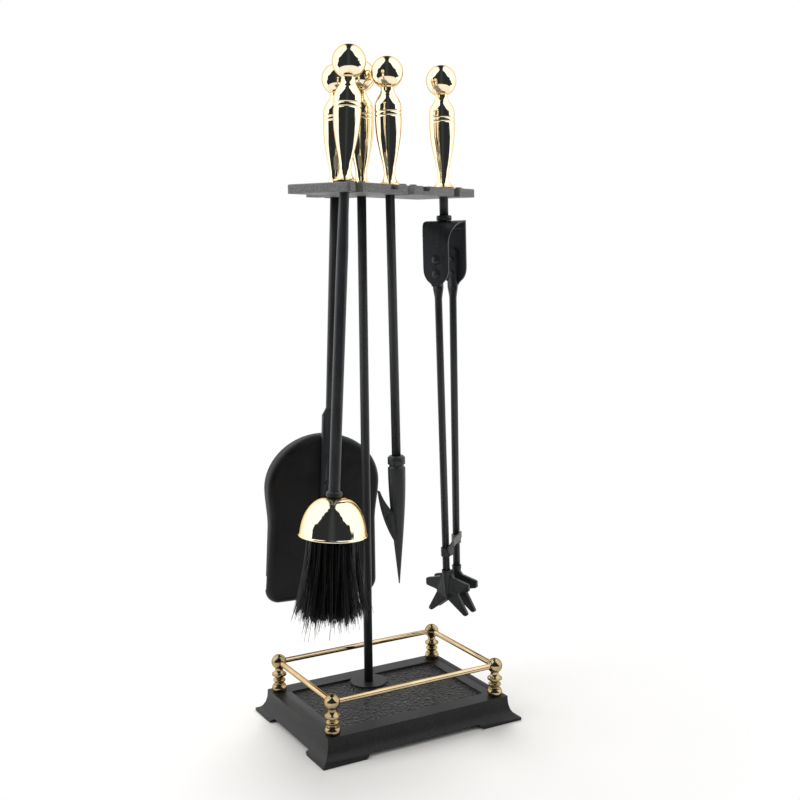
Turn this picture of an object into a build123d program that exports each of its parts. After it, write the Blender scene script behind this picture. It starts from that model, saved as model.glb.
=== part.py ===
from build123d import *
import os
from math import cos, radians, sin

# Fireside tool set: a cast base with a brass gallery rail, one post and a cast rack
# that carries a brush, a shovel, a poker and a pair of spring tongs by their handles.
# Millimetres. The origin is on the floor under the centre of the base, +Z is up and
# -Y is the front.

# --- base casting -----------------------------------------------------------------
BASE_LENGTH = 230.0
BASE_DEPTH = 168.0
BASE_HEIGHT = 25.0
BASE_INSET = 10.3          # how far the top edge stands in from the foot edge
BASE_LIP = 3.0             # upright band at the foot and at the top edge
BASE_WALL = 7.0
BASE_TOP_THICKNESS = 8.0
NOTCH_HEIGHT = 4.5         # arch between the corner feet
NOTCH_LENGTH_X = 128.0
NOTCH_LENGTH_Y = 84.0
NOTCH_RAMP = 4.0
PANEL_MARGIN = 19.0        # land round the sunken panel
PANEL_DEPTH = 2.0
PANEL_CORNER = 3.0
FLARE_STEPS = 5

# --- gallery rail -----------------------------------------------------------------
GALLERY_INSET = 9.8        # rail posts in from the top edge
GALLERY_RISE = 32.0        # rail centre line above the base top
GALLERY_BALL_R = 7.9
GALLERY_RAIL_R = 2.6
GALLERY_SOCKET = 3.5       # how far a rail enters its ball
GALLERY_STUD_R = 2.5
GALLERY_STUD_LENGTH = 6.0
GALLERY_FOOT_R = 6.6
GALLERY_BEAD_R = 7.9       # round bead the post stands on
GALLERY_BEAD_TOP = 7.2
GALLERY_STEM_R = 4.6
GALLERY_STEM_TOP = 9.6
GALLERY_SMALL_BEAD_R = 6.6
GALLERY_SMALL_BEAD_TOP = 14.4
GALLERY_FLARE_R = 7.8      # thin collar between the small bead and the neck
GALLERY_FLARE_HEIGHT = 17.4
GALLERY_FLARE_TOP = 19.6
GALLERY_NECK_R = 4.2

# --- post and rack ----------------------------------------------------------------
POST_Y = 40.0
POST_R = 4.75
STUD_R = 3.2               # reduced end of a rod inside its handle
STUD_LENGTH = 26.0
STUD_CLEARANCE = 0.1
PAD_R = 20.0               # round land the post stands on
POST_NUT_ACROSS = 16.0
POST_NUT_HEIGHT = 6.0
POST_THREAD_END = 2.0      # bare thread below the nut
RACK_BOTTOM = 545.0
RACK_THICKNESS = 9.0
RACK_TURN = 25.0           # the rack is turned on the post, in degrees
RACK_LENGTH = 223.0
RACK_SHIFT = 10.5          # middle of the plate to the right of the post
RACK_FRONT = 62.0          # front edge ahead of the post
RACK_BACK = 14.0           # back edge behind the post
RACK_CORNER = 3.0
REAR_ARM_WIDTH = 52.0
REAR_ARM_REACH = 54.0      # end of the rear arm behind the post
SLOT_WIDTH = 11.0
LIP_LENGTH = 7.0
LIP_DEPTH = 5.0
LIP_HEIGHT = 1.0
SCALLOP_SPOT = 28.0
SCALLOP_WIDTH = 12.0
SCALLOP_DEPTH = 6.0
SCALLOP_HEIGHT = 5.0

# --- where the tools hang, in the rack's own frame ----------------------------------
SIDE_SPOT_X = 85.0
SIDE_SPOT_Y = 45.0
POKER_SPOT_Y = 36.0
SHOVEL_SPOT_Y = 35.0
BRUSH_LEAN = -3.3          # foot of the tool swung towards -X, in degrees
SHOVEL_LEAN = -2.5
POKER_LEAN = 0.85
TONGS_LEAN = 1.1
SEAT_GAP = 0.05

# --- turned brass handle ------------------------------------------------------------
HANDLE_FOOT_R = 11.8
HANDLE_RIM_HEIGHT = 1.2
HANDLE_WAIST_R = 5.8
HANDLE_WAIST_HEIGHT = 12.0
HANDLE_FLANK_R = 9.6
HANDLE_FLANK_HEIGHT = 36.0
HANDLE_BODY_R = 13.4
HANDLE_RING_FOOT = 68.0
HANDLE_RINGS = 2
HANDLE_RING_PITCH = 4.0
HANDLE_RING_GROOVE = 1.6
HANDLE_RING_DEPTH = 0.7
HANDLE_SHOULDER_R = 12.0
HANDLE_SHOULDER_HEIGHT = 83.5
HANDLE_THROAT_R = 7.6
HANDLE_THROAT_HEIGHT = 91.0
HANDLE_NECK_R = 6.6
HANDLE_NECK_HEIGHT = 95.3
HANDLE_BALL_R = 16.0

# --- brush --------------------------------------------------------------------------
ROD_R = 4.75
BRUSH_ROD_LENGTH = 297.0
SLEEVE_R = 5.7             # thicker lower end of the brush rod
SLEEVE_LENGTH = 81.0
COLLAR_R = 8.0
COLLAR_HEIGHT = 6.0
COLLAR_EDGE = 1.5
BELL_R = 33.0
BELL_HEIGHT = 36.0
BELL_WALL = 1.2
BLOCK_R = 27.0
BLOCK_HEIGHT = 12.0
BLOCK_SOCKET = 8.0         # how far the rod enters the block
BRISTLE_TOP_R = 25.0
BRISTLE_FOOT_R = 34.0
BRISTLE_LENGTH = 84.0
BRISTLE_STRAIGHT = 32.0    # length of the tuft before it flares
BRISTLE_EDGE = 4.0         # the outer hairs are this much shorter

# --- shovel -------------------------------------------------------------------------
SHOVEL_ROD_LENGTH = 245.0
TANG_WIDTH = 15.0
TANG_THICKNESS = 4.0
TANG_LENGTH = 80.0
TANG_EDGE = 1.0
BLADE_WIDTH = 133.0
BLADE_WAIST = 126.0
BLADE_LENGTH = 181.0
BLADE_TOP_DROP = 261.0     # top of the blade below the handle foot
BLADE_SHOULDER = 56.0      # depth of the round top
BLADE_EASE = 40.0          # length over which the sides draw in to the waist
BLADE_CORNER = 15.0
BLADE_DEPTH = 15.0
BLADE_SHEET = 1.5
BLADE_LIP = 3.0            # wall left near the blade's open end
BLADE_LIP_RUN = 30.0
RIVET_R = 3.0
RIVET_SHANK_R = 1.8
RIVET_HEAD = 1.4
RIVET_TAPER = 35.0
RIVET_DROPS = (26.0, 52.0)

# --- poker --------------------------------------------------------------------------
POKER_ROD_LENGTH = 277.0
POKER_STUD_LENGTH = 30.0   # rod end inside the head
POKER_HEAD_R = 9.2
POKER_COLLAR_EDGE = 2.0
POKER_COLLAR_HEIGHT = 9.0
POKER_GROOVE_R = 7.6
POKER_GROOVE_TOP = 10.0
POKER_GROOVE_FOOT = 11.0
POKER_BARREL_TOP = 13.0
POKER_BARREL_R = 7.0
POKER_BARREL_DROP = 67.0
POKER_POINT_R = 3.2
POKER_POINT_DROP = 110.0
POKER_HEAD_LENGTH = 138.0
POKER_TIP_R = 0.6
HOOK_REACH = 22.0
HOOK_TIP_DROP = 35.0       # below the top of the head
HOOK_INNER_DROP = 62.0
HOOK_OUTER_DROP = 90.0
HOOK_THICKNESS = 6.0
HOOK_ROOT_X = 3.0          # the hook starts this far off the axis, inside the barrel

# --- tongs --------------------------------------------------------------------------
TONGS_ROD_LENGTH = 28.5
HUB_R = 8.2
HUB_HEIGHT = 5.5
HUB_EDGE = 1.0
BOW_HALF = 16.3            # inner face of a spring leg from the tool's axis
BOW_SHEET = 2.0
BOW_WIDTH = 32.0
BOW_BEND = 9.0
LEG_LENGTH = 60.0
LEG_STRAIGHT = 40.0        # length of a leg before it narrows
LEG_FOOT_WIDTH = 11.0
LEG_FOOT_ROUND = 5.0
ARM_R = 4.0
ARM_FOOT_X = 10.5          # arm axis from the tool's axis at the claw
ARM_LENGTH = 305.0         # round part of an arm
TAB_START = 20.0           # top of an arm's flat tab below the spring's hinge line
TAB_WIDTH = 11.0
TAB_THICKNESS = 4.0
TAB_LENGTH = 42.0
TAB_RUN = 12.0             # length over which the tab turns into the round arm
TAB_EDGE = 1.0
TONGS_RIVET_R = 5.0
TONGS_RIVET_SHANK_R = 2.4
TONGS_RIVET_HEAD = 2.2
TONGS_RIVET_DROPS = (32.0, 47.0)
CLAW_SHEET = 3.5
CLAW_INSET = 3.8           # inner face of the claw plate from the arm's axis
CLAW_SOCKET_R = 5.4
CLAW_SOCKET_DEPTH = 5.0
CLAW_RIB_R = 2.4
CLAW_RIB_LENGTH = 24.0
CLAW_SHOULDER = 9.0
CLAW_WING_X = 28.0
CLAW_WING_DROP = 12.5
CLAW_WING_WIDTH = 8.0
CLAW_WAIST_X = 12.5
CLAW_WAIST_DROP = 20.0
CLAW_TIP_X = 24.0
CLAW_TIP_DROP = 45.0
CLAW_TIP_WIDTH = 6.0
CLAW_NOTCH_DROP = 29.0
CLAW_CORNER = 2.2
BAND_R = 5.4
BAND_HEIGHT = 9.5
CLIP_DROP = 274.5          # top of the left band below the top of the round arm
BAND_DROP = 264.5          # top of the right band
STRAP_WIDTH = 7.0
STRAP_THICKNESS = 1.6
STRAP_RISE = 12.0
STRAP_REACH = 22.0
FIT = 0.3                  # running gap between pieces that move past each other

rack_top = RACK_BOTTOM + RACK_THICKNESS
rack_plane = Plane(
    origin=(0, POST_Y, RACK_BOTTOM),
    x_dir=(cos(radians(RACK_TURN)), sin(radians(RACK_TURN)), 0),
    z_dir=(0, 0, 1),
)
top_length = BASE_LENGTH - 2 * BASE_INSET
top_depth = BASE_DEPTH - 2 * BASE_INSET
gallery_x = top_length / 2 - GALLERY_INSET
gallery_y = top_depth / 2 - GALLERY_INSET
gallery_z = BASE_HEIGHT + GALLERY_RISE

os.makedirs("parts", exist_ok=True)


def save(part, name):
    """Label one finished sub-part and write it to its own file."""
    part.label = name
    export_step(part, f"parts/{name}.step")


def tool_plane(x, y, lean, along_rack=False):
    """Plane of a hanging tool: origin at its handle's foot, z up its leaning axis."""
    spot = rack_plane.from_local_coords(Vector(x, y, RACK_THICKNESS))
    lift = HANDLE_FOOT_R * abs(sin(radians(lean))) + SEAT_GAP
    up = Vector(-sin(radians(lean)), 0, cos(radians(lean)))
    across = rack_plane.x_dir if along_rack else Vector(1, 0, 0)
    across = (across - up * across.dot(up)).normalized()
    return Plane(origin=spot + Vector(0, 0, lift), x_dir=across, z_dir=up)


def upright(plane):
    """The plane's own X-Z plane, for profiles that turn about its z axis."""
    return Plane(origin=plane.origin, x_dir=plane.x_dir, z_dir=-plane.y_dir)


def axis_of(plane):
    return Axis(plane.origin, plane.z_dir)


def make_handle(plane):
    """Turned brass handle with a flared foot, ringed body and ball end."""
    ball_z = HANDLE_NECK_HEIGHT + HANDLE_BALL_R
    neck_drop = (HANDLE_BALL_R**2 - HANDLE_NECK_R**2) ** 0.5
    with BuildPart() as handle:
        with BuildSketch(upright(plane)):
            with BuildLine():
                foot = Line((0, 0), (HANDLE_FOOT_R, 0))
                rim = Line(foot @ 1, (HANDLE_FOOT_R, HANDLE_RIM_HEIGHT))
                waist = Spline(
                    rim @ 1,
                    (HANDLE_WAIST_R, HANDLE_WAIST_HEIGHT),
                    (HANDLE_FLANK_R, HANDLE_FLANK_HEIGHT),
                    (HANDLE_BODY_R, HANDLE_RING_FOOT),
                    tangents=[(-1, 0.5), (0, 1)],
                )
                ring_start = waist @ 1
                for ring in range(HANDLE_RINGS):
                    low = HANDLE_RING_FOOT + ring * HANDLE_RING_PITCH
                    groove = Polyline(
                        ring_start,
                        (HANDLE_BODY_R - HANDLE_RING_DEPTH, low + HANDLE_RING_GROOVE / 2),
                        (HANDLE_BODY_R, low + HANDLE_RING_GROOVE),
                        (HANDLE_BODY_R, low + HANDLE_RING_PITCH),
                    )
                    ring_start = groove @ 1
                shoulder = Spline(
                    ring_start,
                    (HANDLE_SHOULDER_R, HANDLE_SHOULDER_HEIGHT),
                    (HANDLE_THROAT_R, HANDLE_THROAT_HEIGHT),
                    (HANDLE_NECK_R, ball_z - neck_drop),
                    tangents=[(0, 1), (0, 1)],
                )
                ball = ThreePointArc(shoulder @ 1, (HANDLE_BALL_R, ball_z), (0, ball_z + HANDLE_BALL_R))
                Line(ball @ 1, (0, 0))
            make_face()
        revolve(axis=axis_of(plane))
        with BuildSketch(plane):
            Circle(STUD_R)
        extrude(amount=STUD_LENGTH, mode=Mode.SUBTRACT)
    return handle


def make_rod(plane, length, foot_stud):
    """Round steel rod below the handle's foot, with a reduced stud at each end."""
    with BuildPart() as rod:
        with BuildSketch(plane):
            Circle(ROD_R)
        extrude(amount=-length)
        with BuildSketch(plane):
            Circle(STUD_R)
        extrude(amount=STUD_LENGTH)
        with BuildSketch(plane.offset(-length)):
            Circle(STUD_R)
        extrude(amount=-foot_stud)
    return rod


# ====================================================================================
# Stand
# ====================================================================================

# Base casting: flared concave sides, sunken panel, round pad and four corner feet.
with BuildPart() as base_casting:
    flare = BASE_HEIGHT - 2 * BASE_LIP
    for step in range(FLARE_STEPS + 1):
        swing = radians(90) * step / FLARE_STEPS
        inset = BASE_INSET * sin(swing)
        height = BASE_LIP + flare * (1 - cos(swing))
        with BuildSketch(Plane.XY.offset(height)):
            Rectangle(BASE_LENGTH - 2 * inset, BASE_DEPTH - 2 * inset)
    loft(ruled=True)
    with BuildSketch():
        Rectangle(BASE_LENGTH, BASE_DEPTH)
    extrude(amount=BASE_LIP)
    with BuildSketch(Plane.XY.offset(BASE_HEIGHT - BASE_LIP)):
        Rectangle(top_length, top_depth)
    extrude(amount=BASE_LIP)
    with BuildSketch():
        Rectangle(top_length - 2 * BASE_WALL, top_depth - 2 * BASE_WALL)
    extrude(amount=BASE_HEIGHT - BASE_TOP_THICKNESS, mode=Mode.SUBTRACT)
    for side, length, depth in ((Plane.XZ, NOTCH_LENGTH_X, BASE_DEPTH), (Plane.YZ, NOTCH_LENGTH_Y, BASE_LENGTH)):
        with BuildSketch(side):
            with BuildLine():
                Polyline(
                    (-length / 2 - NOTCH_RAMP, 0),
                    (-length / 2, NOTCH_HEIGHT),
                    (length / 2, NOTCH_HEIGHT),
                    (length / 2 + NOTCH_RAMP, 0),
                    close=True,
                )
            make_face()
        extrude(amount=depth, both=True, mode=Mode.SUBTRACT)
    with BuildSketch(Plane.XY.offset(BASE_HEIGHT)):
        RectangleRounded(top_length - 2 * PANEL_MARGIN, top_depth - 2 * PANEL_MARGIN, PANEL_CORNER)
        with Locations((0, POST_Y)):
            Circle(PAD_R, mode=Mode.SUBTRACT)
    extrude(amount=-PANEL_DEPTH, mode=Mode.SUBTRACT)
    with Locations((0, POST_Y, BASE_HEIGHT)):
        Hole(STUD_R + STUD_CLEARANCE)
    with BuildSketch(Plane.XY.offset(BASE_HEIGHT)):
        with GridLocations(2 * gallery_x, 2 * gallery_y, 2, 2):
            Circle(GALLERY_STUD_R)
    extrude(amount=-GALLERY_STUD_LENGTH, mode=Mode.SUBTRACT)
save(base_casting.part, "base_casting")

# Gallery posts: turned brass with two beads under a ball, one at each corner.
gallery_corners = {
    "front_left": (-1, -1),
    "front_right": (1, -1),
    "rear_left": (-1, 1),
    "rear_right": (1, 1),
}
for corner, (side_x, side_y) in gallery_corners.items():
    spot = Plane(origin=(side_x * gallery_x, side_y * gallery_y, BASE_HEIGHT))
    neck_drop = (GALLERY_BALL_R**2 - GALLERY_NECK_R**2) ** 0.5
    with BuildPart() as gallery_post:
        with BuildSketch(upright(spot)):
            with BuildLine():
                base_line = Line((0, 0), (GALLERY_FOOT_R, 0))
                bead = ThreePointArc(
                    base_line @ 1,
                    (GALLERY_BEAD_R, GALLERY_BEAD_TOP / 2),
                    (GALLERY_FOOT_R, GALLERY_BEAD_TOP),
                )
                stem = Line(bead @ 1, (GALLERY_STEM_R, GALLERY_STEM_TOP))
                small_bead = ThreePointArc(
                    stem @ 1,
                    (GALLERY_SMALL_BEAD_R, (GALLERY_STEM_TOP + GALLERY_SMALL_BEAD_TOP) / 2),
                    (GALLERY_STEM_R, GALLERY_SMALL_BEAD_TOP),
                )
                flare_out = Line(small_bead @ 1, (GALLERY_FLARE_R, GALLERY_FLARE_HEIGHT))
                flare_in = Line(flare_out @ 1, (GALLERY_FLARE_R, GALLERY_FLARE_TOP))
                neck = Line(flare_in @ 1, (GALLERY_NECK_R, GALLERY_RISE - neck_drop))
                ball = ThreePointArc(neck @ 1, (GALLERY_BALL_R, GALLERY_RISE), (0, GALLERY_RISE + GALLERY_BALL_R))
                Line(ball @ 1, (0, 0))
            make_face()
        revolve(axis=axis_of(spot))
        with BuildSketch(spot):
            Circle(GALLERY_STUD_R)
        extrude(amount=-GALLERY_STUD_LENGTH)
        for toward, into in ((Plane.YZ, -side_x), (Plane.XZ, side_y)):
            bore = Plane(origin=spot.origin + Vector(0, 0, GALLERY_RISE), x_dir=toward.x_dir, z_dir=toward.z_dir)
            with BuildSketch(bore.offset(into * (GALLERY_BALL_R - GALLERY_SOCKET))):
                Circle(GALLERY_RAIL_R)
            extrude(amount=into * 2 * GALLERY_SOCKET, mode=Mode.SUBTRACT)
    save(gallery_post.part, f"gallery_post_{corner}")

# Gallery rails: round brass bars between the balls.
rail_trim = GALLERY_BALL_R - GALLERY_SOCKET
gallery_rails = {
    "front": (Plane.YZ, (0, -gallery_y), gallery_x),
    "rear": (Plane.YZ, (0, gallery_y), gallery_x),
    "left": (Plane.XZ, (-gallery_x, 0), gallery_y),
    "right": (Plane.XZ, (gallery_x, 0), gallery_y),
}
for side, (section, (rail_x, rail_y), half) in gallery_rails.items():
    middle = Plane(origin=(rail_x, rail_y, gallery_z), x_dir=section.x_dir, z_dir=section.z_dir)
    with BuildPart() as gallery_rail:
        with BuildSketch(middle):
            Circle(GALLERY_RAIL_R)
        extrude(amount=half - rail_trim, both=True)
    save(gallery_rail.part, f"gallery_rail_{side}")

# Post: round bar with a reduced stud at each end, through the base and through the rack.
base_underside = BASE_HEIGHT - BASE_TOP_THICKNESS
post_stud_foot = base_underside - POST_NUT_HEIGHT - POST_THREAD_END
with BuildPart() as centre_post:
    with BuildSketch(Plane(origin=(0, POST_Y, BASE_HEIGHT))):
        Circle(POST_R)
    extrude(amount=RACK_BOTTOM - BASE_HEIGHT)
    with BuildSketch(Plane(origin=(0, POST_Y, post_stud_foot))):
        Circle(STUD_R)
    extrude(amount=BASE_HEIGHT - post_stud_foot)
    with BuildSketch(Plane(origin=(0, POST_Y, RACK_BOTTOM))):
        Circle(STUD_R)
    extrude(amount=RACK_THICKNESS + STUD_LENGTH)
save(centre_post.part, "centre_post")

with BuildPart() as post_nut:
    with BuildSketch(Plane(origin=(0, POST_Y, base_underside))):
        RegularPolygon(POST_NUT_ACROSS / 2, 6, major_radius=False)
        Circle(STUD_R, mode=Mode.SUBTRACT)
    extrude(amount=-POST_NUT_HEIGHT)
save(post_nut.part, "post_nut")

# Rack: cast plate with an open slot for each tool, raised lips at the slot mouths and
# scallops in the front edge.
slot_spots = (
    (-SIDE_SPOT_X, -SIDE_SPOT_Y, -RACK_FRONT),
    (SIDE_SPOT_X, -SIDE_SPOT_Y, -RACK_FRONT),
    (0, -POKER_SPOT_Y, -RACK_FRONT),
    (0, SHOVEL_SPOT_Y, REAR_ARM_REACH),
)
with BuildPart() as tool_rack:
    with BuildSketch(rack_plane) as rack_outline:
        with Locations((RACK_SHIFT, (RACK_BACK - RACK_FRONT) / 2)):
            Rectangle(RACK_LENGTH, RACK_FRONT + RACK_BACK)
        with Locations((0, REAR_ARM_REACH / 2)):
            Rectangle(REAR_ARM_WIDTH, REAR_ARM_REACH)
        fillet(rack_outline.vertices(), RACK_CORNER)
    extrude(amount=RACK_THICKNESS)
    chamfer(tool_rack.faces().sort_by(Axis.Z)[-1].edges(), 1.0)
    lip_plane = rack_plane.offset(RACK_THICKNESS - 1.0)
    for slot_x, slot_y, mouth_y in slot_spots:
        outward = 1 if mouth_y > slot_y else -1
        lip_x = SLOT_WIDTH / 2 + LIP_LENGTH / 2
        lip_y = mouth_y - outward * (LIP_DEPTH / 2 + 1.0)
        with BuildSketch(lip_plane):
            with Locations((slot_x - lip_x, lip_y), (slot_x + lip_x, lip_y)):
                RectangleRounded(LIP_LENGTH, LIP_DEPTH, 1.5)
        extrude(amount=LIP_HEIGHT + 1.0)
    with BuildSketch(rack_plane):
        for slot_x, slot_y, mouth_y in slot_spots:
            with Locations((slot_x, slot_y)):
                Circle(SLOT_WIDTH / 2)
            with Locations((slot_x, (slot_y + mouth_y * 1.1) / 2)):
                Rectangle(SLOT_WIDTH, abs(mouth_y * 1.1 - slot_y))
    extrude(amount=RACK_THICKNESS + LIP_HEIGHT, mode=Mode.SUBTRACT)
    with BuildSketch(rack_plane.offset(RACK_THICKNESS)):
        with Locations((-SCALLOP_SPOT, -RACK_FRONT), (SCALLOP_SPOT, -RACK_FRONT)):
            Rectangle(SCALLOP_WIDTH, 2 * SCALLOP_DEPTH)
    extrude(amount=-SCALLOP_HEIGHT, mode=Mode.SUBTRACT)
    with BuildSketch(rack_plane):
        Circle(STUD_R + STUD_CLEARANCE)
    extrude(amount=RACK_THICKNESS, mode=Mode.SUBTRACT)
save(tool_rack.part, "tool_rack")

post_handle = make_handle(Plane(origin=(0, POST_Y, rack_top)))
save(post_handle.part, "post_handle")

# ====================================================================================
# Brush
# ====================================================================================
brush = tool_plane(-SIDE_SPOT_X, -SIDE_SPOT_Y, BRUSH_LEAN)
brush_handle = make_handle(brush)
save(brush_handle.part, "brush_handle")

bell_top = -BRUSH_ROD_LENGTH - COLLAR_HEIGHT
bell_rim = bell_top - BELL_HEIGHT
block_top = bell_rim + BLOCK_HEIGHT
brush_stud = COLLAR_HEIGHT + BELL_HEIGHT - BLOCK_HEIGHT + BLOCK_SOCKET
with BuildPart() as brush_rod:
    add(make_rod(brush, BRUSH_ROD_LENGTH, brush_stud).part)
    with BuildSketch(brush.offset(-BRUSH_ROD_LENGTH)):
        Circle(SLEEVE_R)
    extrude(amount=SLEEVE_LENGTH)
    chamfer(brush_rod.edges().filter_by(GeomType.CIRCLE).sort_by(SortBy.RADIUS)[-1], 0.6)
save(brush_rod.part, "brush_rod")

with BuildPart() as brush_collar:
    with BuildSketch(brush.offset(-BRUSH_ROD_LENGTH)):
        Circle(COLLAR_R)
        Circle(STUD_R, mode=Mode.SUBTRACT)
    extrude(amount=-COLLAR_HEIGHT)
    chamfer(brush_collar.edges().filter_by(GeomType.CIRCLE).sort_by(SortBy.RADIUS)[-2:], COLLAR_EDGE)
save(brush_collar.part, "brush_collar")

# Bell: spun brass dome that hangs from the collar, open below.
with BuildPart() as brush_bell:
    with BuildSketch(upright(brush)):
        with BuildLine():
            bell_hole = STUD_R + STUD_CLEARANCE
            bell_spread = BELL_R - COLLAR_R
            crown = Line((bell_hole, bell_top), (COLLAR_R, bell_top))
            dome = EllipticalCenterArc((COLLAR_R, bell_rim), bell_spread, BELL_HEIGHT, arc_size=90)
            inner_dome = EllipticalCenterArc(
                (COLLAR_R, bell_rim), bell_spread - BELL_WALL, BELL_HEIGHT - BELL_WALL, arc_size=90
            )
            Line(dome @ 0, inner_dome @ 0)
            Polyline(inner_dome @ 1, (bell_hole, bell_top - BELL_WALL), crown @ 0)
        make_face()
    revolve(axis=axis_of(brush))
save(brush_bell.part, "brush_bell")

# Block: turned plug on the end of the rod that holds the tuft inside the bell.
with BuildPart() as brush_block:
    with BuildSketch(brush.offset(block_top)):
        Circle(BLOCK_R)
    extrude(amount=-BLOCK_HEIGHT)
    with BuildSketch(brush.offset(block_top)):
        Circle(STUD_R)
    extrude(amount=-BLOCK_SOCKET, mode=Mode.SUBTRACT)
save(brush_block.part, "brush_block")

# Tuft: the bristles as one closed solid that flares to an open foot.
with BuildPart() as brush_bristles:
    with BuildSketch(upright(brush)):
        with BuildLine():
            tuft_foot = bell_rim - BRISTLE_LENGTH
            head = Line((0, bell_rim), (BRISTLE_TOP_R, bell_rim))
            flank = Spline(
                head @ 1,
                (BRISTLE_TOP_R + 1.0, bell_rim - BRISTLE_STRAIGHT),
                (BRISTLE_FOOT_R, tuft_foot + BRISTLE_EDGE),
            )
            Polyline(flank @ 1, (BRISTLE_FOOT_R - 2 * BRISTLE_EDGE, tuft_foot), (0, tuft_foot), head @ 0)
        make_face()
    revolve(axis=axis_of(brush))
save(brush_bristles.part, "brush_bristles")

# ====================================================================================
# Shovel
# ====================================================================================
shovel = tool_plane(0, SHOVEL_SPOT_Y, SHOVEL_LEAN)
shovel_handle = make_handle(shovel)
save(shovel_handle.part, "shovel_handle")

blade_top = -BLADE_TOP_DROP
blade_side = blade_top - BLADE_SHOULDER
blade_foot = blade_top - BLADE_LENGTH
tang_foot = blade_top - TANG_LENGTH
blade_face = Plane(
    origin=shovel.origin + shovel.y_dir * ROD_R, x_dir=shovel.x_dir, z_dir=-shovel.y_dir
)

# Rod and tang are one forging: the round rod is beaten flat where it lies on the blade.
with BuildPart() as shovel_rod:
    with BuildSketch(shovel):
        Circle(ROD_R)
    extrude(amount=-SHOVEL_ROD_LENGTH)
    with BuildSketch(shovel):
        Circle(STUD_R)
    extrude(amount=STUD_LENGTH)
    with BuildSketch(shovel.offset(-SHOVEL_ROD_LENGTH)):
        Circle(ROD_R)
    with BuildSketch(shovel.offset(blade_top)):
        with Locations((0, ROD_R - TANG_THICKNESS / 2)):
            RectangleRounded(TANG_WIDTH, TANG_THICKNESS, TANG_EDGE)
    loft()
    with BuildSketch(blade_face) as tang_outline:
        with Locations((0, blade_top - TANG_LENGTH / 2)):
            Rectangle(TANG_WIDTH, TANG_LENGTH)
        fillet(tang_outline.vertices().sort_by(Axis.Y)[:2], TANG_WIDTH / 2 - 0.1)
        with Locations(*[(0, blade_top - drop) for drop in RIVET_DROPS]):
            Circle(RIVET_SHANK_R, mode=Mode.SUBTRACT)
    extrude(amount=TANG_THICKNESS)
save(shovel_rod.part, "shovel_rod")

# Blade: pressed pan, round at the top, with a wall that falls away to the open end.
with BuildPart() as shovel_blade:
    for inward, mode in ((0, Mode.ADD), (BLADE_SHEET, Mode.SUBTRACT)):
        half_top = BLADE_WIDTH / 2 - inward
        half_low = BLADE_WAIST / 2 - inward
        foot = blade_foot - 3 * inward
        with BuildSketch(blade_face.offset(-inward)) as pan_outline:
            with BuildLine():
                round_top = EllipticalCenterArc(
                    (0, blade_side), half_top, BLADE_SHOULDER - inward, arc_size=180
                )
                left = Spline(
                    round_top @ 1, (-half_low, blade_side - BLADE_EASE), (-half_low, foot), tangents=[(0, -1), (0, -1)]
                )
                right = Spline(
                    round_top @ 0, (half_low, blade_side - BLADE_EASE), (half_low, foot), tangents=[(0, -1), (0, -1)]
                )
                Line(left @ 1, right @ 1)
            make_face()
            fillet(pan_outline.vertices().sort_by(Axis.Y)[:2], BLADE_CORNER)
        extrude(amount=-BLADE_DEPTH, mode=mode)
    with BuildSketch(Plane(origin=shovel.origin, x_dir=shovel.y_dir, z_dir=shovel.x_dir)):
        with BuildLine():
            Polyline(
                (ROD_R + BLADE_DEPTH, blade_side),
                (ROD_R + BLADE_LIP, blade_foot + BLADE_LIP_RUN),
                (ROD_R + BLADE_SHEET, blade_foot + BLADE_SHEET),
                (ROD_R + BLADE_SHEET, blade_foot - BLADE_LIP),
                (ROD_R + 2 * BLADE_DEPTH, blade_foot - BLADE_LIP),
                (ROD_R + 2 * BLADE_DEPTH, blade_side),
                close=True,
            )
        make_face()
    extrude(amount=BLADE_WIDTH, both=True, mode=Mode.SUBTRACT)
    with BuildSketch(blade_face):
        with Locations(*[(0, blade_top - drop) for drop in RIVET_DROPS]):
            Circle(RIVET_SHANK_R)
    extrude(amount=-BLADE_SHEET, mode=Mode.SUBTRACT)
save(shovel_blade.part, "shovel_blade")

for drop, level in zip(RIVET_DROPS, ("upper", "lower")):
    rivet_plane = Plane(
        origin=blade_face.from_local_coords(Vector(0, blade_top - drop, 0)),
        x_dir=shovel.x_dir,
        z_dir=-shovel.y_dir,
    )
    with BuildPart() as shovel_rivet:
        with BuildSketch(rivet_plane.offset(TANG_THICKNESS)):
            Circle(RIVET_R)
        extrude(amount=RIVET_HEAD, taper=RIVET_TAPER)
        with BuildSketch(rivet_plane.offset(-BLADE_SHEET)):
            Circle(RIVET_SHANK_R)
        extrude(amount=BLADE_SHEET + TANG_THICKNESS)
        with BuildSketch(rivet_plane.offset(-BLADE_SHEET)):
            Circle(RIVET_R)
        extrude(amount=-RIVET_HEAD, taper=RIVET_TAPER)
    save(shovel_rivet.part, f"shovel_rivet_{level}")

# ====================================================================================
# Poker
# ====================================================================================
poker = tool_plane(0, -POKER_SPOT_Y, POKER_LEAN)
poker_handle = make_handle(poker)
save(poker_handle.part, "poker_handle")
poker_rod = make_rod(poker, POKER_ROD_LENGTH, POKER_STUD_LENGTH)
save(poker_rod.part, "poker_rod")

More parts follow.
